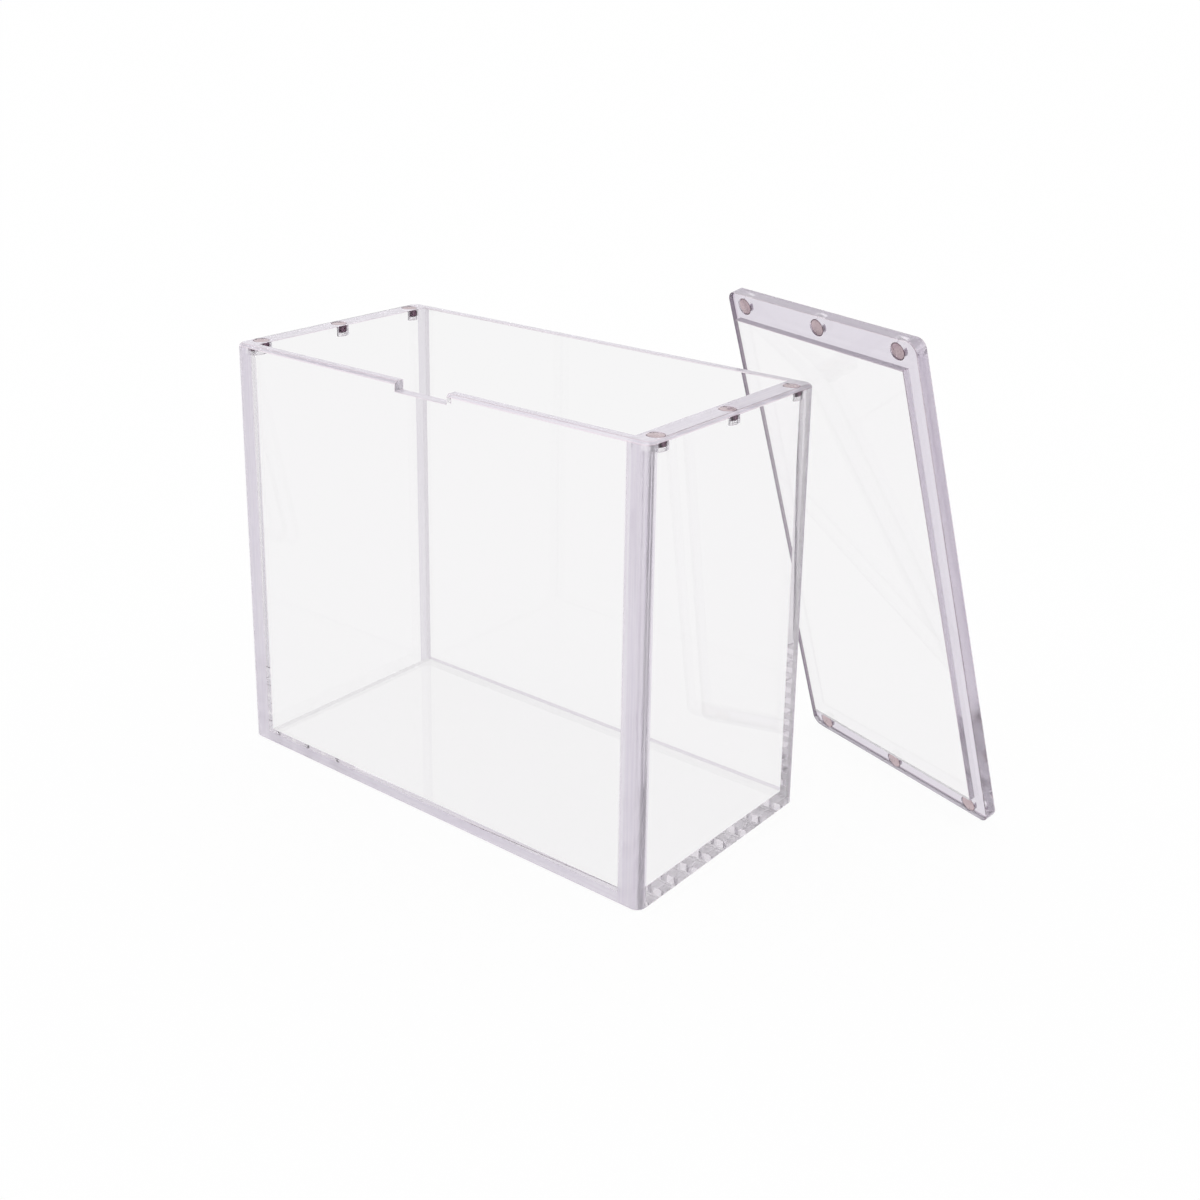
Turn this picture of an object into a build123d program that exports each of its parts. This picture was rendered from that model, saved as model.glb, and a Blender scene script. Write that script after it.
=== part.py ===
from build123d import *
from math import cos, radians, sin
import os

# Booster box display case: five clear sheets bonded into an open box, and a lid that
# magnets hold down. The lid is off the case and leans on its rear right corner.
# Millimetres. X runs along the case, Y from its front to its rear, Z up, and the
# origin is the centre of the underside.

# Overall size of the case
case_length = 160.0
case_depth = 78.5
case_height = 133.0

# Sheets
side_sheet = 7.5
face_sheet = 3.5
base_sheet = 3.5
lid_sheet = 4.2
locating_sheet = 2.0

# Edges
corner_radius = 3.0
rim_chamfer = 0.8
lid_edge_break = 0.4

# Finger notch in the front panel's top edge
notch_width = 20.0
notch_depth = 3.0

# Disc magnets, a little below the faces that meet, and their blind pockets
magnet_diameter = 5.0
case_magnet_height = 2.5
case_pocket_depth = 3.8
lid_magnet_height = 2.0
lid_pocket_depth = 3.0
magnet_pitch = 32.0
magnet_recess = 0.1

# Clearances
magnet_clearance = 0.05
locating_clearance = 0.4
lean_clearance = 0.3

# How the lid leans: it stands on a short edge, turned and tipped towards the case
lean_turn = 17.7
lean_tip = 16.3
lean_overlap = 34.5

# Places worked out from the sizes above
half_length = case_length / 2
half_depth = case_depth / 2
bay_length = case_length - 2 * side_sheet
panel_height = case_height - base_sheet
magnet_x = half_length - side_sheet / 2
magnet_rows = {"front": -magnet_pitch, "middle": 0.0, "rear": magnet_pitch}
pocket_radius = magnet_diameter / 2 + magnet_clearance
locating_length = case_length - 2 * (side_sheet + locating_clearance)
locating_depth = case_depth - 2 * (face_sheet + locating_clearance)

os.makedirs("parts", exist_ok=True)


def keep(part, label):
    part.label = label
    export_step(part, f"parts/{label}.step")


# Base panel, the full depth of the case, between the two side panels
with BuildPart() as base_panel:
    Box(
        bay_length,
        case_depth,
        base_sheet,
        align=(Align.CENTER, Align.CENTER, Align.MIN),
    )

keep(base_panel.part, "base_panel")


# Side panels, the full height of the case, with rounded upright edges, a chamfered rim
# and three blind pockets for magnets in the top edge
with BuildPart() as right_side_panel:
    with Locations((half_length, 0, 0)):
        Box(
            side_sheet,
            case_depth,
            case_height,
            align=(Align.MAX, Align.CENTER, Align.MIN),
        )
    upright = right_side_panel.edges().filter_by(Axis.Z)
    fillet(upright.group_by(Axis.X)[-1], corner_radius)
    rim = right_side_panel.faces().sort_by(Axis.Z)[-1].edges()
    chamfer(rim - rim.group_by(Axis.X)[0], rim_chamfer)
    with BuildSketch(Plane.XY.offset(case_height)):
        with Locations([(magnet_x, y) for y in magnet_rows.values()]):
            Circle(pocket_radius)
    extrude(amount=-case_pocket_depth, mode=Mode.SUBTRACT)

keep(right_side_panel.part, "right_side_panel")

with BuildPart() as left_side_panel:
    mirror(right_side_panel.part, about=Plane.YZ)

keep(left_side_panel.part, "left_side_panel")


# Rear panel, between the sides and on the base, with the same chamfer on its outer rim
with BuildPart() as rear_panel:
    with Locations((0, half_depth, base_sheet)):
        Box(
            bay_length,
            face_sheet,
            panel_height,
            align=(Align.CENTER, Align.MAX, Align.MIN),
        )
    rim = rear_panel.faces().sort_by(Axis.Z)[-1].edges().filter_by(Axis.X)
    chamfer(rim.sort_by(Axis.Y)[-1], rim_chamfer)

keep(rear_panel.part, "rear_panel")


# Front panel, the rear one's mirror image with the finger notch cut through its rim
with BuildPart() as front_panel:
    mirror(rear_panel.part, about=Plane.XZ)
    with BuildSketch(Plane.XZ.offset(half_depth)):
        with Locations((0, case_height)):
            Rectangle(notch_width, 2 * notch_depth)
    extrude(amount=-face_sheet, mode=Mode.SUBTRACT)

keep(front_panel.part, "front_panel")


# Case magnets, a hair below the rim and above the air left in their pockets
for side, x in (("left", -magnet_x), ("right", magnet_x)):
    for row, y in magnet_rows.items():
        with BuildPart() as case_magnet:
            with Locations((x, y, case_height - magnet_recess)):
                Cylinder(
                    magnet_diameter / 2,
                    case_magnet_height,
                    align=(Align.CENTER, Align.CENTER, Align.MAX),
                )
        keep(case_magnet.part, f"case_magnet_{side}_{row}")


# The lid's leaning frame: across runs along the short edge that it stands on, upward
# along its length, and facing points out of its inner face, towards the case
turn, tip = radians(lean_turn), radians(lean_tip)
across = Vector(cos(turn), -sin(turn), 0)
facing = Vector(-sin(turn) * cos(tip), -cos(turn) * cos(tip), -sin(tip))
upward = facing.cross(across)

# The upright edge of the case that the lid rests on, at the foot of the rim's chamfer
arc_centre = Vector(half_length - corner_radius, half_depth - corner_radius, 0)
lean_point = arc_centre + Vector(sin(turn), cos(turn), 0) * corner_radius
lean_point += Vector(0, 0, case_height - rim_chamfer)

# From there down the lid's face to the floor, and along its foot to the lid's corner
face_gap = locating_sheet + lean_clearance
lid_reach = (lean_point.Z - facing.Z * face_gap) / upward.Z
lid_corner = lean_point - facing * face_gap - upward * lid_reach - across * lean_overlap
lid_centre = lid_corner + across * (case_depth / 2) + upward * (case_length / 2)
lid_plane = Plane(origin=lid_centre, x_dir=across, z_dir=facing)


# Lid plate, the size of the case, with its blind magnet pockets in the inner face
with BuildPart() as lid_plate:
    with BuildSketch(lid_plane):
        RectangleRounded(case_depth, case_length, corner_radius)
    extrude(amount=-lid_sheet)
    outer_face = lid_plate.faces().sort_by(Axis(lid_centre, facing))[0]
    chamfer(outer_face.edges(), lid_edge_break)
    with BuildSketch(lid_plane):
        with GridLocations(magnet_pitch, 2 * magnet_x, 3, 2):
            Circle(pocket_radius)
    extrude(amount=-lid_pocket_depth, mode=Mode.SUBTRACT)

keep(lid_plate.part, "lid_plate")


# Locating plate, bonded to the lid's inner face, which drops between the case's walls
with BuildPart() as lid_locating_plate:
    with BuildSketch(lid_plane):
        Rectangle(locating_depth, locating_length)
    extrude(amount=locating_sheet)

keep(lid_locating_plate.part, "lid_locating_plate")


# Lid magnets, a hair below the lid's inner face
for end, up_place in (("lower", -magnet_x), ("upper", magnet_x)):
    for row, across_place in magnet_rows.items():
        with BuildPart() as lid_magnet:
            with BuildSketch(lid_plane.offset(-magnet_recess)):
                with Locations((-across_place, up_place)):
                    Circle(magnet_diameter / 2)
            extrude(amount=-lid_magnet_height)
        keep(lid_magnet.part, f"lid_magnet_{end}_{row}")
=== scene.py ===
import math

import bmesh
import bpy
from mathutils import Matrix, Vector


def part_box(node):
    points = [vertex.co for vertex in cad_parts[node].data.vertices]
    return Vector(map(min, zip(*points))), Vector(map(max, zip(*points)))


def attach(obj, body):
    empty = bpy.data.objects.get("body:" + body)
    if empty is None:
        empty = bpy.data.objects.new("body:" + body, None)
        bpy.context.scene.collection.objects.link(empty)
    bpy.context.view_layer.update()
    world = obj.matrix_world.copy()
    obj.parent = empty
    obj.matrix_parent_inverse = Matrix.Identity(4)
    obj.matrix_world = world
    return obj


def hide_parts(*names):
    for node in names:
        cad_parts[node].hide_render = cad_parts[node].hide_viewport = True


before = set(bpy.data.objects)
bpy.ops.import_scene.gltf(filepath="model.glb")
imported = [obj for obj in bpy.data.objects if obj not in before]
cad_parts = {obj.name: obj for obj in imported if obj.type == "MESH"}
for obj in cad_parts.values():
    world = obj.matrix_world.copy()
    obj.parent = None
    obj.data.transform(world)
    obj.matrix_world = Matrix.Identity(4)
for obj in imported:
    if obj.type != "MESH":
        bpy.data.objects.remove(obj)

bl_info = {
    "name": "Booster Box Display Case",
    "version": (1, 0, 0),
    "blender": (4, 5, 0),
    "location": "View3D > Sidebar > Display Case",
    "description": "Clear acrylic case and magnetic lid, with the stage they stand on",
    "category": "Object",
}

CASE_AXES = (Vector((1, 0, 0)), Vector((0, 1, 0)), Vector((0, 0, 1)))
CASE_PANELS = ("base_panel", "left_side_panel", "right_side_panel", "front_panel", "rear_panel")
CASE_MAGNETS = [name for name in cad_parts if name.startswith("case_magnet_")]
LID_SHEETS = ("lid_plate", "lid_locating_plate")
LID_MAGNETS = [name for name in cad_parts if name.startswith("lid_magnet_")]

# What a face of a clear sheet can be. Each is a number from 0 to 1 on the face.
# One of the marks is painted shade, which darkens the lid's left-hand edges.
FACE_MARKS = ("worked_edge", "satin", "arris", "lid_border", "painted_shade_edge", "seam", "bonded")

# How satin each kind of worked edge is
CASE_RIM_SATIN = 1.0
CASE_FRONT_SATIN = 0.5
CASE_BACK_SATIN = 0.15
LID_END_SATIN = 0.7
LID_SIDE_SATIN = 0.1

# Distances in metres under which two corners, or a face and a plane, are in one place
SAME_CORNER = 1e-6
SAME_PLANE = 1e-5
CUT_TOLERANCE = 1e-7

# Least shares of a face's normal that lie along an axis
SQUARE = 0.9999
BROAD = 0.98
ALIGNED = 0.9
SLANTED = 0.3
TURNED = 0.1

# Angles between neighbouring faces: the most on a flat face, and the least at a corner
FLAT_ANGLE = math.radians(0.5)
CORNER_ANGLE = math.radians(30)

# A magnet's pocket: its reach as a share of the magnet's radius, and how far below the
# magnet's middle its floor lies at least
POCKET_REACH = 1.1
POCKET_DROP = 0.001

# Segments of a magnet's disc, and how the rings of its half height are shared out from the
# middle: to the straight wall first and then to the rounded corner
DISC_SIDES = 48
DISC_RINGS = 8
STRAIGHT_SHARE = 0.25
ROUNDED_SHARE = 0.75

# Ranges of noise that are spread over the whole of a pattern
STREAK_RANGE = {"From_Min": 0.35, "From_Max": 0.65}
# The glints are painted highlights on the magnets' walls
GLINT_RANGE = {"From_Min": 0.4, "From_Max": 0.6}
GLINT_SCALE = 2.5

# An edge's roughness where it is smoothest, and what the streaks add, as shares
SMOOTH_SHARE = 0.75
STREAK_SHARE = 0.5

# The photograph's camera: where it stands, where it looks, and what is to its right
CAMERA_PLACE = (0.30186, -0.33892, 0.24786)
CAMERA_AIM = (-0.59684, 0.75171, -0.28056)
CAMERA_RIGHT = (0.78039, 0.62511, 0.01471)
SENSOR_WIDTH = 36.0
NEAREST_SEEN = 0.01

# The floor's half width and how far it lies below the case, so that no two faces meet
FLOOR_REACH = 12
FLOOR_DROP = 0.0003

# How often light may be bent or mirrored on its way through the clear sheets
LIGHT_BOUNCES = 48


# Measures read from the frame

def node_points(name):
    return [vertex.co.copy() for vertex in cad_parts[name].data.vertices]


def middle_of(name):
    """The mean of a node's points, which is the middle of a disc or a plain sheet."""
    points = node_points(name)
    return sum(points, Vector()) / len(points)


def lid_axes():
    """The lid's own axes, read from its magnets: along, across and out of its inner face."""
    lower = middle_of("lid_magnet_lower_front")
    along = (middle_of("lid_magnet_upper_front") - lower).normalized()
    across = (middle_of("lid_magnet_lower_rear") - lower).normalized()
    facing = along.cross(across).normalized()
    if (middle_of("lid_locating_plate") - middle_of("lid_plate")).dot(facing) < 0:
        across, facing = -across, -facing
    return along, across, facing


def reach(points, middle, axis):
    """How far the points go from the middle along an axis."""
    return max((point - middle).dot(axis) for point in points)


def disc_radius(name, axis):
    middle = middle_of(name)
    return max((point - middle).cross(axis).length for point in node_points(name))


# Node tree helpers

def new_node(tree, kind, place=(0, 0), **settings):
    node = tree.nodes.new(kind)
    node.location = place
    for name, value in settings.items():
        setattr(node, name, value)
    return node


def link_all(tree, *pairs):
    for source, target in pairs:
        tree.links.new(source, target)


def math_node(tree, operation, place, *values, clamp=False):
    """The output of a Math node whose inputs are sockets or plain numbers."""
    node = new_node(tree, "ShaderNodeMath", place, operation=operation, use_clamp=clamp)
    for socket, value in zip(node.inputs, values):
        if isinstance(value, bpy.types.NodeSocket):
            tree.links.new(value, socket)
        else:
            socket.default_value = value
    return node.outputs[0]


def tinted(tree, place, factor, below, above):
    """A colour from below to above by factor. Each colour is a socket or three numbers."""
    node = new_node(tree, "ShaderNodeMix", place, data_type="RGBA")
    tree.links.new(factor, node.inputs["Factor"])
    for socket, colour in ((node.inputs["A"], below), (node.inputs["B"], above)):
        if isinstance(colour, bpy.types.NodeSocket):
            tree.links.new(colour, socket)
        else:
            socket.default_value = (*colour, 1.0)
    return node.outputs["Result"]


def remapped(tree, place, value, **limits):
    """The output of a Map Range node, with its limits by name, such as To_Min."""
    node = new_node(tree, "ShaderNodeMapRange", place)
    for name, limit in limits.items():
        node.inputs[name.replace("_", " ")].default_value = limit
    tree.links.new(value, node.inputs["Value"])
    return node.outputs["Result"]


def fresh_material(name):
    material = bpy.data.materials.new(name)
    material.use_nodes = True
    material.node_tree.nodes.clear()
    return material


# Materials

def polished_acrylic(settings):
    """Cast acrylic: clear faces, worked edges, fine broken corners, bonded faces that light
    passes straight through, and painted shade on the lid's left-hand edges."""
    material = fresh_material("polished_acrylic")
    tree = material.node_tree
    output = new_node(tree, "ShaderNodeOutputMaterial", (1100, 0))
    shader = new_node(tree, "ShaderNodeBsdfPrincipled", (800, 0))
    shader.inputs["Specular Tint"].default_value = (*settings.mirror_tint, 1.0)
    tree.links.new(shader.outputs["BSDF"], output.inputs["Surface"])

    mask = {}
    for row, name in enumerate(FACE_MARKS):
        mark = new_node(tree, "ShaderNodeAttribute", (-600, 200 - 200 * row), attribute_name=name)
        mask[name] = mark.outputs["Fac"]
    streaks = edge_streaks(tree, settings)

    # The lid's left-hand edges get painted shade: dark only where they reflect, so that light
    # still leaves by them
    mirrored = new_node(tree, "ShaderNodeFresnel", (-400, -900))
    mirrored.inputs["IOR"].default_value = settings.ior
    painted_shade = math_node(tree, "MULTIPLY", (-200, -800), mask["painted_shade_edge"], mirrored.outputs["Fac"])

    worked = tinted(tree, (-200, 400), streaks, settings.edge_tint, settings.streak_tint)
    colour = tinted(tree, (0, 300), mask["worked_edge"], settings.face_tint, worked)
    colour = tinted(tree, (200, 300), mask["arris"], colour, settings.arris_tint)
    # A darker lilac tint on the lid's inner face outside the locating plate
    colour = tinted(tree, (400, 300), mask["lid_border"], colour, settings.border_tint)
    colour = tinted(tree, (500, 300), painted_shade, colour, settings.painted_shade_tint)
    colour = tinted(tree, (600, 300), mask["seam"], colour, settings.seam_tint)
    tree.links.new(colour, shader.inputs["Base Color"])

    smear = math_node(tree, "MULTIPLY_ADD", (0, 0), streaks, STREAK_SHARE, SMOOTH_SHARE)
    finish = math_node(tree, "MULTIPLY", (200, 0), mask["worked_edge"], smear)
    matt = math_node(tree, "MULTIPLY", (400, 0), finish, settings.edge_roughness)
    tree.links.new(matt, shader.inputs["Roughness"])

    milky = math_node(tree, "MULTIPLY", (200, -150), mask["satin"], 1 - settings.satin_clearness)
    # The painted shade also scatters the light that the lid's left-hand edges reflect, so their
    # dark tint shows
    painted_shade_scatter = math_node(tree, "MULTIPLY", (200, -300), painted_shade, 1 - settings.painted_shade_clearness)
    scattered = math_node(tree, "ADD", (400, -150), milky, painted_shade_scatter)
    clear = math_node(tree, "SUBTRACT", (600, -150), 1.0, scattered)
    tree.links.new(clear, shader.inputs["Transmission Weight"])

    index = remapped(tree, (400, -300), mask["bonded"], To_Min=settings.ior, To_Max=1.0)
    tree.links.new(index, shader.inputs["IOR"])

    depth = new_node(tree, "ShaderNodeVolumeAbsorption", (800, -400))
    depth.inputs["Color"].default_value = (*settings.depth_tint, 1.0)
    depth.inputs["Density"].default_value = settings.depth_density
    tree.links.new(depth.outputs["Volume"], output.inputs["Volume"])
    return material


def edge_streaks(tree, settings):
    """Faint marks of the saw and the polishing wheel, drawn out along each edge by its map."""
    run = new_node(tree, "ShaderNodeUVMap", (-1200, 500), uv_map="edge_run")
    stretch = new_node(tree, "ShaderNodeMapping", (-1000, 500))
    scale = (1 / settings.streak_length, 1 / settings.streak_width, 1.0)
    stretch.inputs["Scale"].default_value = scale
    noise = new_node(tree, "ShaderNodeTexNoise", (-800, 500), noise_dimensions="2D")
    noise.inputs["Scale"].default_value = 1.0
    noise.inputs["Detail"].default_value = 3.0
    link_all(tree, (run.outputs["UV"], stretch.inputs["Vector"]),
             (stretch.outputs["Vector"], noise.inputs["Vector"]))
    return remapped(tree, (-600, 500), noise.outputs["Fac"], **STREAK_RANGE)


def nickel_plating(settings):
    """Nickel plating: pale warm faces with duller patches, and a wall painted dark as shade,
    with painted glints in upright streaks.
    """
    material = fresh_material("nickel_plating")
    tree = material.node_tree
    output = new_node(tree, "ShaderNodeOutputMaterial", (900, 0))
    shader = new_node(tree, "ShaderNodeBsdfPrincipled", (600, 0))
    shader.inputs["Metallic"].default_value = 1.0
    tree.links.new(shader.outputs["BSDF"], output.inputs["Surface"])

    spot = new_node(tree, "ShaderNodeTexCoord", (-900, 200))
    mottle = new_node(tree, "ShaderNodeTexNoise", (-600, 300))
    mottle.inputs["Scale"].default_value = 1 / settings.mottle_size
    tree.links.new(spot.outputs["Object"], mottle.inputs["Vector"])
    patches = mottle.outputs["Fac"]
    face = tinted(tree, (-200, 300), patches, settings.face_colour, settings.worn_colour)

    # Painted shade and painted glints: the wall is coloured dark for the dark pocket it reflects,
    # with lighter upright streaks laid out by the normal
    bands = new_node(tree, "ShaderNodeTexNoise", (-600, 0))
    bands.inputs["Scale"].default_value = GLINT_SCALE
    tree.links.new(spot.outputs["Normal"], bands.inputs["Vector"])
    glints = remapped(tree, (-400, 0), bands.outputs["Fac"], **GLINT_RANGE)
    wall = tinted(tree, (-200, 0), glints, settings.painted_wall_shade, settings.glint_colour)

    side = new_node(tree, "ShaderNodeAttribute", (-200, -200), attribute_name="wall")
    colour = tinted(tree, (200, 200), side.outputs["Fac"], face, wall)
    matt = math_node(tree, "MULTIPLY", (200, -100), patches, settings.roughness)
    link_all(tree, (colour, shader.inputs["Base Color"]), (matt, shader.inputs["Roughness"]))
    return material


def seen_directly(tree, share, through):
    """Two sockets. The first is share for rays from the camera, a mirror or glass, and 0 for
    the rest. The second is the page's strength: 1, or through behind glass."""
    path = new_node(tree, "ShaderNodeLightPath", (-600, 200))
    camera, glossy = path.outputs["Is Camera Ray"], path.outputs["Is Glossy Ray"]
    glass = path.outputs["Is Transmission Ray"]
    direct = math_node(tree, "MAXIMUM", (-350, 200), camera, glossy)
    direct = math_node(tree, "MAXIMUM", (-150, 200), direct, glass)
    strength = remapped(tree, (-150, -50), glass, To_Min=1.0, To_Max=through)
    return math_node(tree, "MULTIPLY", (50, 200), direct, share), strength


def studio_floor(settings):
    """A white sheet: the camera, glass and metal see page white less a soft shadow."""
    material = fresh_material("studio_floor")
    tree = material.node_tree
    output = new_node(tree, "ShaderNodeOutputMaterial", (800, 0))
    blend = new_node(tree, "ShaderNodeMixShader", (600, 0))
    paper = new_node(tree, "ShaderNodeBsdfDiffuse", (300, -100))
    paper.inputs["Color"].default_value = (*settings.floor_colour, 1.0)
    glow = new_node(tree, "ShaderNodeEmission", (300, -250))
    seen, strength = seen_directly(tree, settings.floor_glow, settings.through_glow)
    link_all(tree, (seen, blend.inputs["Fac"]), (strength, glow.inputs["Strength"]),
             (paper.outputs["BSDF"], blend.inputs[1]), (glow.outputs["Emission"], blend.inputs[2]),
             (blend.outputs["Shader"], output.inputs["Surface"]))
    return material


# Clear sheets

def merged_copy(name):
    """A copy of a CAD node's mesh with its corners merged and its flat faces joined up."""
    mesh = bmesh.new()
    mesh.from_mesh(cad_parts[name].data)
    bmesh.ops.remove_doubles(mesh, verts=mesh.verts, dist=SAME_CORNER)
    bmesh.ops.dissolve_limit(mesh, angle_limit=FLAT_ANGLE, verts=mesh.verts, edges=mesh.edges)
    return mesh


def cut_flat(mesh, point, normal):
    """Splits the faces along a plane, so that a bonded strip is a face of its own."""
    parts = mesh.verts[:] + mesh.edges[:] + mesh.faces[:]
    bmesh.ops.bisect_plane(mesh, geom=parts, dist=CUT_TOLERANCE, plane_co=point, plane_no=normal)


def push_plane(mesh, point, normal, distance):
    """Moves every corner that lies on a plane along its normal by distance."""
    for vertex in mesh.verts:
        if abs((vertex.co - point).dot(normal)) < SAME_CORNER:
            vertex.co += normal * distance


def is_square(normal, axes):
    """True for a face square to one of the sheet's own axes."""
    return any(abs(normal.dot(axis)) > SQUARE for axis in axes)


def in_pocket(centre, normal, magnets, axis):
    """True for the wall or the floor of a magnet's pocket."""
    for name in magnets:
        offset = centre - middle_of(name)
        if offset.cross(axis).length >= POCKET_REACH * disc_radius(name, axis):
            continue
        is_wall, is_floor = abs(normal.dot(axis)) < 0.5, offset.dot(axis) < -POCKET_DROP
        if is_wall or is_floor:
            return True
    return False


def mark_faces(mesh, broad, magnets, axis, marks):
    """Writes what each face is. A face is clear if it is one of the sheet's two broad faces
    or belongs to a magnet's pocket. Any other is a worked edge. marks gives the other marks
    by name, each from a face's centre and normal."""
    layers = {name: mesh.faces.layers.float.new(name) for name in FACE_MARKS}
    levels = [vertex.co.dot(broad) for vertex in mesh.verts]
    low, high = min(levels), max(levels)
    for face in mesh.faces:
        centre = face.calc_center_median()
        level = centre.dot(broad)
        outside = min(abs(level - low), abs(level - high)) < SAME_PLANE
        clear = outside and abs(face.normal.dot(broad)) > BROAD
        clear = clear or in_pocket(centre, face.normal, magnets, axis)
        face[layers["worked_edge"]] = 0.0 if clear else 1.0
        for name, mark in marks.items():
            face[layers[name]] = float(mark(centre, face.normal))
        if clear:
            face[layers["satin"]] = 0.0
    return layers


def case_satin(centre, normal):
    """How satin a worked edge of the case is: its rim most, its underside not at all."""
    if abs(normal.z) > TURNED:
        return CASE_RIM_SATIN if normal.z > 0 else 0.0
    return CASE_FRONT_SATIN if normal.y < -TURNED else CASE_BACK_SATIN


def break_corners(mesh, layers, width):
    """Breaks the sheet's open corners with a fine round, and marks it."""
    sharp = []
    for edge in mesh.edges:
        open_edge = not any(face[layers["bonded"]] for face in edge.link_faces)
        if open_edge and edge.calc_face_angle(0.0) > CORNER_ANGLE:
            sharp.append(edge)
    made = bmesh.ops.bevel(mesh, geom=sharp, offset=width, segments=2, profile=0.5,
                           affect="EDGES", clamp_overlap=False)
    for face in made["faces"]:
        face[layers["arris"]] = 1.0
        face[layers["worked_edge"]] = 1.0
        face[layers["lid_border"]] = 0.0


def map_edges(mesh, broad, axes):
    """Lays the edge map in metres: along the edge in u, through the sheet in v."""
    run = mesh.loops.layers.uv.new("edge_run")
    for face in mesh.faces:
        along = broad.cross(face.normal)
        along = along.normalized() if along.length > TURNED else axes[0]
        for loop in face.loops:
            loop[run].uv = (loop.vert.co.dot(along), loop.vert.co.dot(broad))


def sheet_piece(name, body, mesh, layers, broad, axes, settings):
    """Makes a sheet's mesh a piece in place of its CAD node."""
    break_corners(mesh, layers, settings.broken_corner)
    map_edges(mesh, broad, axes)
    for face in mesh.faces:
        face.smooth = True
    for edge in mesh.edges:
        turned = edge.calc_face_angle(0.0) > CORNER_ANGLE
        beside_flat = any(is_square(face.normal, axes) for face in edge.link_faces)
        edge.smooth = not (turned or beside_flat)
    data = bpy.data.meshes.new(name + "_clear")
    mesh.to_mesh(data)
    mesh.free()
    acrylic = bpy.data.materials.get("polished_acrylic") or polished_acrylic(settings)
    data.materials.append(acrylic)
    piece = bpy.data.objects.new(name + "_clear", data)
    bpy.context.scene.collection.objects.link(piece)
    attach(piece, body)
    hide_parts(name)


def case_panel(name, settings):
    """One of the case's five panels, with the faces where it is bonded to others marked."""
    base_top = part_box("base_panel")[1]
    front_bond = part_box("front_panel")[1].y
    rear_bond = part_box("rear_panel")[0].y
    mesh = merged_copy(name)
    side, face = base_top.x, base_top.z
    seam = None
    if name.endswith("side_panel") or name == "base_panel":
        for y in (rear_bond, front_bond):
            cut_flat(mesh, Vector((0, y, 0)), CASE_AXES[1])
    if name.endswith("side_panel"):
        broad = CASE_AXES[0]
        way = 1 if name.startswith("right") else -1
        cut_flat(mesh, Vector((0, 0, face)), CASE_AXES[2])
        seam = (Vector((side * way, 0, 0)), broad * way)

        def bonded(centre, normal):
            inside = abs(centre.x - side * way) < SAME_CORNER and abs(normal.x) > ALIGNED
            return inside and (centre.y > rear_bond or centre.y < front_bond or centre.z < face)
    elif name == "base_panel":
        broad = CASE_AXES[2]
        seam = (Vector((0, 0, face)), -broad)

        def bonded(centre, normal):
            under_wall = centre.y > rear_bond or centre.y < front_bond
            return abs(normal.x) > ALIGNED or (normal.z > ALIGNED and under_wall)
    else:
        broad = CASE_AXES[1]

        def bonded(centre, normal):
            at_end = abs(normal.x) > ALIGNED and abs(abs(centre.x) - side) < SAME_CORNER
            return at_end or (normal.z < -ALIGNED and centre.z < face + SAME_CORNER)
    marks = {"bonded": bonded, "seam": bonded, "satin": case_satin}
    layers = mark_faces(mesh, broad, CASE_MAGNETS, CASE_AXES[2], marks)
    for underside in (each for each in mesh.faces if each.normal.z < -ALIGNED):
        underside[layers["worked_edge"]] = 0.0
    if seam:
        push_plane(mesh, *seam, settings.seam_gap)
    sheet_piece(name, "case", mesh, layers, broad, CASE_AXES, settings)


def lid_sheet(name, settings):
    """One of the lid's two sheets, with the face where they are bonded marked."""
    along, across, facing = lid_axes()
    locating = node_points("lid_locating_plate")
    middle = middle_of("lid_locating_plate")
    half_length, half_width = reach(locating, middle, along), reach(locating, middle, across)
    bond = min(point.dot(facing) for point in locating)
    left = -across if across.x > 0 else across
    mesh = merged_copy(name)

    def on_inner_face(centre, normal):
        level = abs(centre.dot(facing) - bond) < SAME_PLANE
        return level and normal.dot(facing) > ALIGNED

    def under_plate(centre):
        offset = centre - middle
        return abs(offset.dot(along)) < half_length and abs(offset.dot(across)) < half_width

    def bonded(centre, normal):
        if name == "lid_plate":
            return on_inner_face(centre, normal) and under_plate(centre)
        return normal.dot(facing) < -ALIGNED

    # The lid's inner face outside the locating plate, which takes a darker lilac tint
    def on_lid_border(centre, normal):
        inner = name == "lid_plate" and on_inner_face(centre, normal)
        return inner and not under_plate(centre)

    # Painted shade: the lid's left-hand edges are coloured darker, as if shade falls there
    def painted_shade(centre, normal):
        return normal.dot(left) > ALIGNED

    def satin(centre, normal):
        if abs(normal.dot(along)) > SLANTED:
            return LID_END_SATIN
        return LID_SIDE_SATIN if abs(normal.dot(across)) > SLANTED else 0.0

    if name == "lid_plate":
        for axis, half in ((along, half_length), (across, half_width)):
            cut_flat(mesh, middle + axis * half, axis)
            cut_flat(mesh, middle - axis * half, axis)
    marks = {"bonded": bonded, "lid_border": on_lid_border, "painted_shade_edge": painted_shade, "satin": satin}
    layers = mark_faces(mesh, facing, LID_MAGNETS, facing, marks)
    if name == "lid_plate":
        push_plane(mesh, facing * bond, facing, -settings.seam_gap)
    sheet_piece(name, "lid", mesh, layers, facing, (along, across, facing), settings)


# Disc magnets

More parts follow.
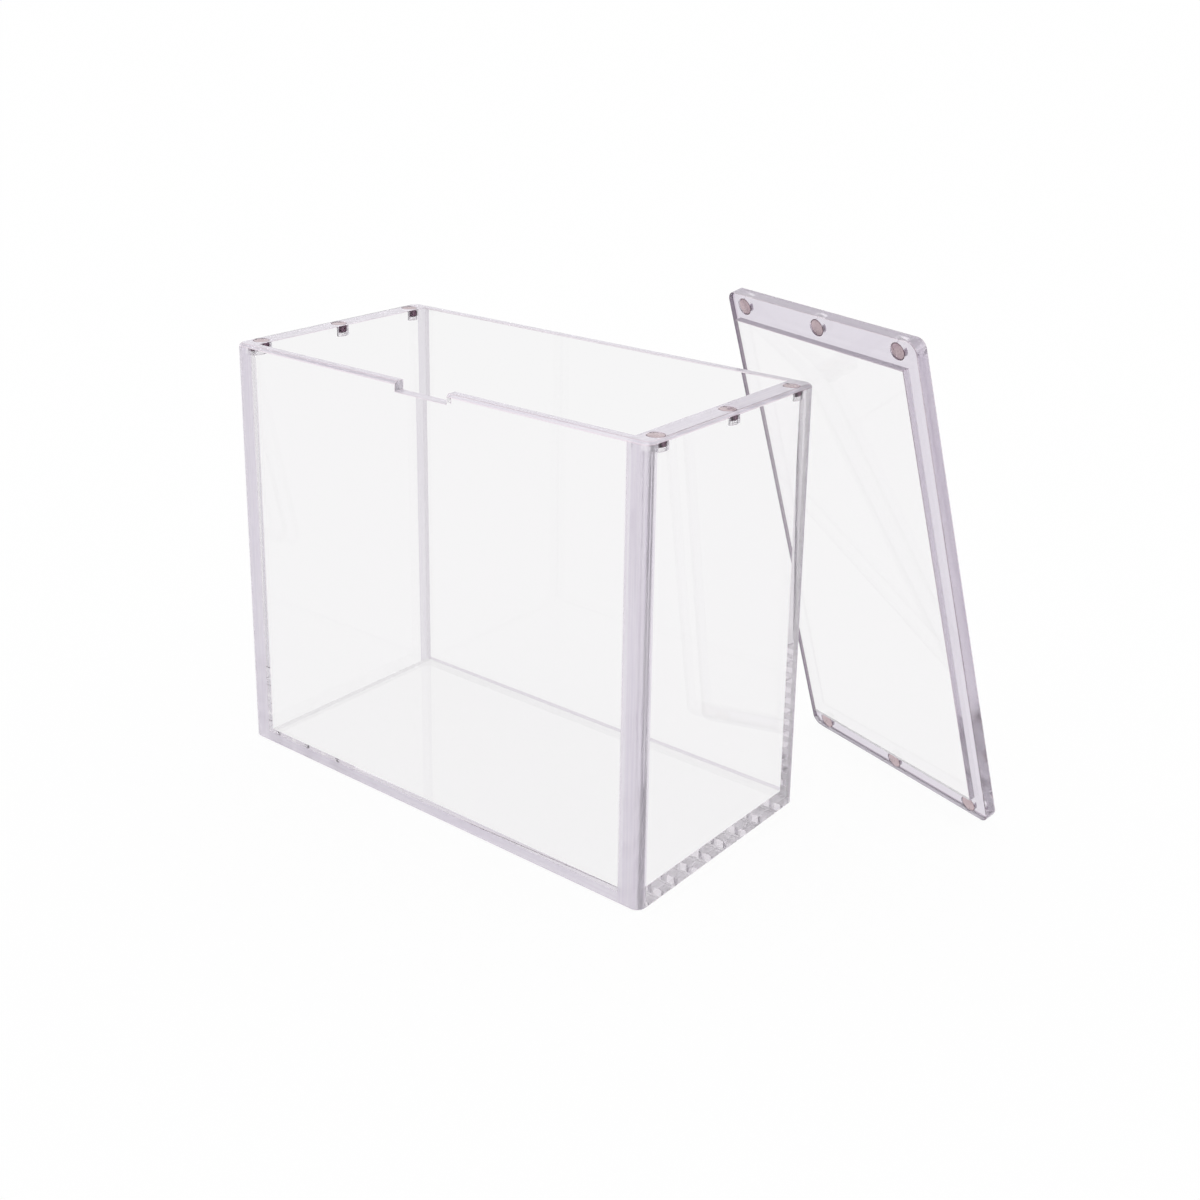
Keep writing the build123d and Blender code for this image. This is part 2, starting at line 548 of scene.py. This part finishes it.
def disc_tree():
    """Geometry nodes that set a disc with rounded corners on each point, along the point's
    own axis."""
    tree = bpy.data.node_groups.new("disc_magnets", "GeometryNodeTree")
    tree.is_modifier = True
    new_socket = tree.interface.new_socket
    new_socket("Geometry", in_out="INPUT", socket_type="NodeSocketGeometry")
    for name, usual in (("Radius", 0.0025), ("Height", 0.002), ("Corner", 0.0002)):
        socket = new_socket(name, in_out="INPUT", socket_type="NodeSocketFloat")
        socket.subtype = "DISTANCE"
        socket.default_value = usual
    new_socket("Material", in_out="INPUT", socket_type="NodeSocketMaterial")
    new_socket("Geometry", in_out="OUTPUT", socket_type="NodeSocketGeometry")
    given = new_node(tree, "NodeGroupInput", (-1600, 0))
    radius, height, corner = (given.outputs[name] for name in ("Radius", "Height", "Corner"))

    disc = new_node(tree, "GeometryNodeMeshCylinder", (-1200, 300))
    disc.inputs["Vertices"].default_value = DISC_SIDES
    disc.inputs["Side Segments"].default_value = DISC_RINGS
    link_all(tree, (radius, disc.inputs["Radius"]), (height, disc.inputs["Depth"]))
    rounded = rounded_place(tree, radius, height, corner)
    shape = new_node(tree, "GeometryNodeSetPosition", (600, 200))
    link_all(tree, (disc.outputs["Mesh"], shape.inputs["Geometry"]),
             (rounded, shape.inputs["Position"]))
    marked = new_node(tree, "GeometryNodeStoreNamedAttribute", (800, 200),
                      data_type="FLOAT", domain="FACE")
    marked.inputs["Name"].default_value = "wall"
    link_all(tree, (shape.outputs[0], marked.inputs["Geometry"]),
             (disc.outputs["Side"], marked.inputs["Value"]))

    axis = new_node(tree, "GeometryNodeInputNamedAttribute", (600, 600), data_type="FLOAT_VECTOR")
    axis.inputs["Name"].default_value = "axis"
    lean = new_node(tree, "FunctionNodeAlignRotationToVector", (800, 600), axis="Z")
    spread = new_node(tree, "GeometryNodeInstanceOnPoints", (1000, 300))
    real = new_node(tree, "GeometryNodeRealizeInstances", (1200, 300))
    coat = new_node(tree, "GeometryNodeSetMaterial", (1400, 300))
    result = new_node(tree, "NodeGroupOutput", (1600, 300))
    link_all(tree, (axis.outputs["Attribute"], lean.inputs["Vector"]),
             (given.outputs["Geometry"], spread.inputs["Points"]),
             (marked.outputs[0], spread.inputs["Instance"]),
             (lean.outputs[0], spread.inputs["Rotation"]),
             (spread.outputs[0], real.inputs[0]), (real.outputs[0], coat.inputs["Geometry"]),
             (given.outputs["Material"], coat.inputs["Material"]),
             (coat.outputs[0], result.inputs[0]))
    return tree


def rounded_place(tree, radius, height, corner):
    """Where each corner of a plain cylinder goes when its two rims are rounded. The rings
    near the middle spread over the straight wall, and the others over the round."""
    place = new_node(tree, "GeometryNodeInputPosition", (-1400, -300))
    parts = new_node(tree, "ShaderNodeSeparateXYZ", (-1200, -300))
    tree.links.new(place.outputs[0], parts.inputs[0])
    x, y, z = (parts.outputs[name] for name in "XYZ")

    half = math_node(tree, "MULTIPLY", (-1200, -500), height, 0.5)
    distance = math_node(tree, "ABSOLUTE", (-1100, -400), z)
    level = math_node(tree, "DIVIDE", (-1000, -400), distance, half)
    past = math_node(tree, "SUBTRACT", (-800, -400), level, STRAIGHT_SHARE)
    round_part = math_node(tree, "DIVIDE", (-600, -400), past, ROUNDED_SHARE, clamp=True)
    flat_part = math_node(tree, "DIVIDE", (-600, -600), level, STRAIGHT_SHARE, clamp=True)
    turn = math_node(tree, "MULTIPLY", (-400, -400), round_part, math.pi / 2)

    wall = math_node(tree, "SUBTRACT", (-600, -700), half, corner)
    straight = math_node(tree, "MULTIPLY", (-400, -600), flat_part, wall)
    sine = math_node(tree, "SINE", (-300, -500), turn)
    rise = math_node(tree, "MULTIPLY", (-200, -500), sine, corner)
    climb = math_node(tree, "ADD", (0, -500), straight, rise)
    side = math_node(tree, "SIGN", (0, -700), z)
    new_z = math_node(tree, "MULTIPLY", (200, -500), climb, side)

    cosine = math_node(tree, "COSINE", (-300, -200), turn)
    bend = math_node(tree, "SUBTRACT", (-200, -200), 1.0, cosine)
    fall = math_node(tree, "MULTIPLY", (-100, -200), bend, corner)
    inner = math_node(tree, "SUBTRACT", (0, -200), radius, fall)
    narrow = math_node(tree, "DIVIDE", (100, -200), inner, radius)
    new_x = math_node(tree, "MULTIPLY", (250, -200), x, narrow)
    new_y = math_node(tree, "MULTIPLY", (250, -300), y, narrow)

    rounded = new_node(tree, "ShaderNodeCombineXYZ", (400, -300))
    link_all(tree, *zip((new_x, new_y, new_z), rounded.inputs))
    return rounded.outputs[0]


def socket_names(tree):
    """The modifier's own name for each named input of a node tree."""
    sockets = [item for item in tree.interface.items_tree if item.item_type == "SOCKET"]
    return {item.name: item.identifier for item in sockets if item.in_out == "INPUT"}


def magnet_set(name, body, nodes, axis, settings):
    """All the disc magnets of one body as one piece, each in the place of its CAD node."""
    data = bpy.data.meshes.new(name)
    data.from_pydata([middle_of(node) for node in nodes], [], [])
    layer = data.attributes.new("axis", "FLOAT_VECTOR", "POINT")
    for item in layer.data:
        item.vector = axis
    source = bpy.data.objects.new(name + "_points", data)
    bpy.context.scene.collection.objects.link(source)
    material = bpy.data.materials.get("nickel_plating") or nickel_plating(settings)
    modifier = source.modifiers.new("disc_magnets", "NODES")
    modifier.node_group = bpy.data.node_groups.get("disc_magnets") or disc_tree()
    names = socket_names(modifier.node_group)
    modifier[names["Radius"]] = disc_radius(nodes[0], axis)
    modifier[names["Height"]] = 2 * reach(node_points(nodes[0]), middle_of(nodes[0]), axis)
    modifier[names["Corner"]] = settings.corner
    modifier[names["Material"]] = material
    graph = bpy.context.evaluated_depsgraph_get()
    made = bpy.data.meshes.new_from_object(source.evaluated_get(graph))
    bpy.data.objects.remove(source)
    made.name = name
    made.materials.clear()
    made.materials.append(material)
    made.polygons.foreach_set("material_index", [0] * len(made.polygons))
    made.shade_smooth()
    piece = bpy.data.objects.new(name, made)
    bpy.context.scene.collection.objects.link(piece)
    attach(piece, body)
    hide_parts(*nodes)


# Stage

def lay_floor(scene, settings):
    """The white sheet under the case, as far as the camera sees."""
    sheet = bpy.data.meshes.new("studio_floor")
    corners = [(x * FLOOR_REACH, y * FLOOR_REACH, -FLOOR_DROP)
               for x, y in ((-1, -1), (1, -1), (1, 1), (-1, 1))]
    sheet.from_pydata(corners, [], [(0, 1, 2, 3)])
    sheet.materials.append(studio_floor(settings))
    floor = bpy.data.objects.new("studio_floor", sheet)
    scene.collection.objects.link(floor)


def light_scene(scene, settings):
    """Even white light from all round, and the white page that is seen behind the object."""
    world = bpy.data.worlds.new("soft_surround")
    scene.world = world
    world.use_nodes = True
    tree = world.node_tree
    tree.nodes.clear()
    output = new_node(tree, "ShaderNodeOutputWorld", (800, 0))
    blend = new_node(tree, "ShaderNodeMixShader", (600, 0))
    light = new_node(tree, "ShaderNodeBackground", (300, -100))
    light.inputs["Color"].default_value = (1, 1, 1, 1)
    light.inputs["Strength"].default_value = settings.surround_light
    page = new_node(tree, "ShaderNodeBackground", (300, -250))
    page.inputs["Color"].default_value = (1, 1, 1, 1)
    seen, strength = seen_directly(tree, 1.0, settings.through_glow)
    link_all(tree, (seen, blend.inputs["Fac"]), (strength, page.inputs["Strength"]),
             (light.outputs["Background"], blend.inputs[1]),
             (page.outputs["Background"], blend.inputs[2]),
             (blend.outputs["Shader"], output.inputs["Surface"]))


def place_camera(scene, settings):
    """The photograph's camera."""
    camera = bpy.data.cameras.new("camera")
    camera.sensor_width = SENSOR_WIDTH
    camera.lens = settings.lens
    camera.shift_y = settings.rise
    camera.clip_start = NEAREST_SEEN
    stand = bpy.data.objects.new("camera", camera)
    scene.collection.objects.link(stand)
    back = -Vector(CAMERA_AIM).normalized()
    up = back.cross(Vector(CAMERA_RIGHT)).normalized()
    turn = Matrix((up.cross(back), up, back)).transposed().to_4x4()
    stand.matrix_world = Matrix.Translation(CAMERA_PLACE) @ turn
    scene.camera = stand


# Settings

class AcrylicSettings(bpy.types.PropertyGroup):
    ior: bpy.props.FloatProperty(
        name="Refractive Index", description="How strongly the acrylic bends light",
        default=1.49, min=1.0, max=2.0)
    face_tint: bpy.props.FloatVectorProperty(
        name="Face Tint", description="Colour that light takes on at a clear face",
        subtype="COLOR", default=(0.998, 0.995, 0.998), min=0.0, max=1.0)
    mirror_tint: bpy.props.FloatVectorProperty(
        name="Mirror Tint", description="Strength and colour of the reflections on the faces",
        subtype="COLOR", default=(0.4, 0.4, 0.4), min=0.0, max=1.0)
    edge_tint: bpy.props.FloatVectorProperty(
        name="Edge Tint", description="Colour that light takes on at a worked edge",
        subtype="COLOR", default=(0.785, 0.735, 0.825), min=0.0, max=1.0)
    streak_tint: bpy.props.FloatVectorProperty(
        name="Streak Tint", description="Colour of the streaks along a worked edge",
        subtype="COLOR", default=(0.855, 0.815, 0.885), min=0.0, max=1.0)
    arris_tint: bpy.props.FloatVectorProperty(
        name="Broken Corner Tint", description="Colour that light takes on at a broken corner",
        subtype="COLOR", default=(0.88, 0.78, 0.86), min=0.0, max=1.0)
    border_tint: bpy.props.FloatVectorProperty(
        name="Lid Border Tint",
        description="Colour of the lid's inner face outside the locating plate",
        subtype="COLOR", default=(0.66, 0.60, 0.71), min=0.0, max=1.0)
    # Painted shade: the dark plum colour of the lid's left-hand edges where they reflect
    painted_shade_tint: bpy.props.FloatVectorProperty(
        name="Deep Edge Tint", description="Colour of the lid's darker left-hand edges",
        subtype="COLOR", default=(0.34, 0.20, 0.36), min=0.0, max=1.0)
    seam_tint: bpy.props.FloatVectorProperty(
        name="Seam Tint", description="Colour that light takes on at a bonded seam",
        subtype="COLOR", default=(0.985, 0.975, 0.985), min=0.0, max=1.0)
    edge_roughness: bpy.props.FloatProperty(
        name="Edge Roughness", description="How matt the worked edges are",
        subtype="FACTOR", default=0.2, min=0.0, max=1.0)
    satin_clearness: bpy.props.FloatProperty(
        name="Satin Clearness",
        description="Share of light that the most satin edge passes unscattered",
        subtype="FACTOR", default=0.3, min=0.0, max=1.0)
    # Painted shade: how little light the lid's left-hand edges pass where they reflect
    painted_shade_clearness: bpy.props.FloatProperty(
        name="Deep Edge Clearness",
        description="Share of light that the lid's left-hand edges pass unscattered",
        subtype="FACTOR", default=0.25, min=0.0, max=1.0)
    streak_length: bpy.props.FloatProperty(
        name="Streak Length", description="Length of the marks along a worked edge",
        subtype="DISTANCE", unit="LENGTH", default=0.03, min=0.0001, max=1.0)
    streak_width: bpy.props.FloatProperty(
        name="Streak Width", description="Width of the marks along a worked edge",
        subtype="DISTANCE", unit="LENGTH", default=0.0007, min=0.0001, max=1.0)
    broken_corner: bpy.props.FloatProperty(
        name="Broken Corner", description="Width of the fine round on an open corner",
        subtype="DISTANCE", unit="LENGTH", default=0.00022, min=0.00001, max=0.001, precision=5)
    depth_tint: bpy.props.FloatVectorProperty(
        name="Depth Tint", description="Colour that long paths through the acrylic lean to",
        subtype="COLOR", default=(0.68, 0.62, 0.72), min=0.0, max=1.0)
    depth_density: bpy.props.FloatProperty(
        name="Depth Density", description="How fast the acrylic takes light, per metre",
        default=1.5, min=0.0, max=100.0)
    seam_gap: bpy.props.FloatProperty(
        name="Seam Gap", description="Room at a bonded seam, so that no two faces coincide",
        subtype="DISTANCE", unit="LENGTH", default=0.00001, min=0.0, max=0.0001, precision=6)


class MagnetSettings(bpy.types.PropertyGroup):
    face_colour: bpy.props.FloatVectorProperty(
        name="Face Colour", description="Colour of the plating on a magnet's flat faces",
        subtype="COLOR", default=(0.60, 0.48, 0.51), min=0.0, max=1.0)
    worn_colour: bpy.props.FloatVectorProperty(
        name="Worn Colour", description="Colour of the duller patches on those faces",
        subtype="COLOR", default=(0.48, 0.38, 0.40), min=0.0, max=1.0)
    # Painted shade: the wall is coloured dark for the dark pocket it reflects
    painted_wall_shade: bpy.props.FloatVectorProperty(
        name="Wall Colour", description="Colour of a magnet's wall",
        subtype="COLOR", default=(0.07, 0.02, 0.05), min=0.0, max=1.0)
    # Painted glints: lighter upright streaks on the dark wall
    glint_colour: bpy.props.FloatVectorProperty(
        name="Glint Colour", description="Colour of the upright streaks on the wall",
        subtype="COLOR", default=(0.20, 0.13, 0.17), min=0.0, max=1.0)
    mottle_size: bpy.props.FloatProperty(
        name="Patch Size", description="Size of the duller patches",
        subtype="DISTANCE", unit="LENGTH", default=0.002, min=0.0001, max=0.1)
    roughness: bpy.props.FloatProperty(
        name="Roughness", description="How matt the plating is at its dullest",
        subtype="FACTOR", default=0.5, min=0.0, max=1.0)
    corner: bpy.props.FloatProperty(
        name="Corner", description="Radius of a magnet's rounded corners",
        subtype="DISTANCE", unit="LENGTH", default=0.0002, min=0.00001, max=0.001, precision=5)


class StageSettings(bpy.types.PropertyGroup):
    floor_colour: bpy.props.FloatVectorProperty(
        name="Floor Colour", description="Colour of the sheet that the case stands on",
        subtype="COLOR", default=(0.95, 0.95, 0.95), min=0.0, max=1.0)
    floor_glow: bpy.props.FloatProperty(
        name="Floor Glow", description="Share of page white in the floor as the camera sees it",
        subtype="FACTOR", default=0.95, min=0.0, max=1.0)
    through_glow: bpy.props.FloatProperty(
        name="Page Through Acrylic",
        description="Strength of the page as it is seen through the acrylic",
        subtype="FACTOR", default=0.925, min=0.0, max=1.0)
    surround_light: bpy.props.FloatProperty(
        name="Surround Light", description="Strength of the light from all round",
        default=1.0, min=0.0, max=5.0)
    lens: bpy.props.FloatProperty(
        name="Lens", description="Focal length in millimetres",
        default=47.333, min=10.0, max=300.0)
    rise: bpy.props.FloatProperty(
        name="Shift", description="Shift of the picture up or down, as a share of its width",
        default=-0.15, min=-1.0, max=1.0)


# Operators

class DISPLAYCASE_OT_case_panels(bpy.types.Operator):
    """Makes the five bonded panels of the case"""
    bl_idname = "display_case.case_panels"
    bl_label = "Case Panels"

    def execute(self, context):
        for name in CASE_PANELS:
            case_panel(name, context.scene.acrylic_settings)
        return {"FINISHED"}


class DISPLAYCASE_OT_lid_sheets(bpy.types.Operator):
    """Makes the lid plate and the locating plate bonded to its inner face"""
    bl_idname = "display_case.lid_sheets"
    bl_label = "Lid Sheets"

    def execute(self, context):
        for name in LID_SHEETS:
            lid_sheet(name, context.scene.acrylic_settings)
        return {"FINISHED"}


class DISPLAYCASE_OT_magnets(bpy.types.Operator):
    """Makes the disc magnets of the case and the lid"""
    bl_idname = "display_case.magnets"
    bl_label = "Disc Magnets"

    def execute(self, context):
        settings = context.scene.magnet_settings
        magnet_set("case_magnets", "case", CASE_MAGNETS, CASE_AXES[2], settings)
        magnet_set("lid_magnets", "lid", LID_MAGNETS, lid_axes()[2], settings)
        return {"FINISHED"}


class DISPLAYCASE_OT_stage(bpy.types.Operator):
    """Sets up the floor, the soft light and the camera"""
    bl_idname = "display_case.stage"
    bl_label = "Stage"

    def execute(self, context):
        settings = context.scene.stage_settings
        lay_floor(context.scene, settings)
        light_scene(context.scene, settings)
        place_camera(context.scene, settings)
        context.scene.view_settings.view_transform = "Standard"
        cycles = context.scene.cycles
        cycles.max_bounces = LIGHT_BOUNCES
        cycles.glossy_bounces = LIGHT_BOUNCES
        cycles.transmission_bounces = LIGHT_BOUNCES
        cycles.transparent_max_bounces = LIGHT_BOUNCES
        return {"FINISHED"}


class DISPLAYCASE_PT_panel(bpy.types.Panel):
    """Lists the operators in the order they run"""
    bl_idname = "DISPLAYCASE_PT_panel"
    bl_label = "Display Case"
    bl_space_type = "VIEW_3D"
    bl_region_type = "UI"
    bl_category = "Display Case"

    def draw(self, context):
        for operator in OPERATORS:
            self.layout.operator(operator.bl_idname)


OPERATORS = (
    DISPLAYCASE_OT_case_panels,
    DISPLAYCASE_OT_lid_sheets,
    DISPLAYCASE_OT_magnets,
    DISPLAYCASE_OT_stage,
)
CLASSES = (AcrylicSettings, MagnetSettings, StageSettings, *OPERATORS, DISPLAYCASE_PT_panel)


def register():
    for cls in CLASSES:
        bpy.utils.register_class(cls)
    bpy.types.Scene.acrylic_settings = bpy.props.PointerProperty(type=AcrylicSettings)
    bpy.types.Scene.magnet_settings = bpy.props.PointerProperty(type=MagnetSettings)
    bpy.types.Scene.stage_settings = bpy.props.PointerProperty(type=StageSettings)


def unregister():
    del bpy.types.Scene.stage_settings
    del bpy.types.Scene.magnet_settings
    del bpy.types.Scene.acrylic_settings
    for cls in reversed(CLASSES):
        bpy.utils.unregister_class(cls)


def main():
    register()
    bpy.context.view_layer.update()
    bpy.ops.display_case.case_panels()
    bpy.ops.display_case.lid_sheets()
    bpy.ops.display_case.magnets()
    bpy.ops.display_case.stage()


if __name__ == "__main__":
    main()
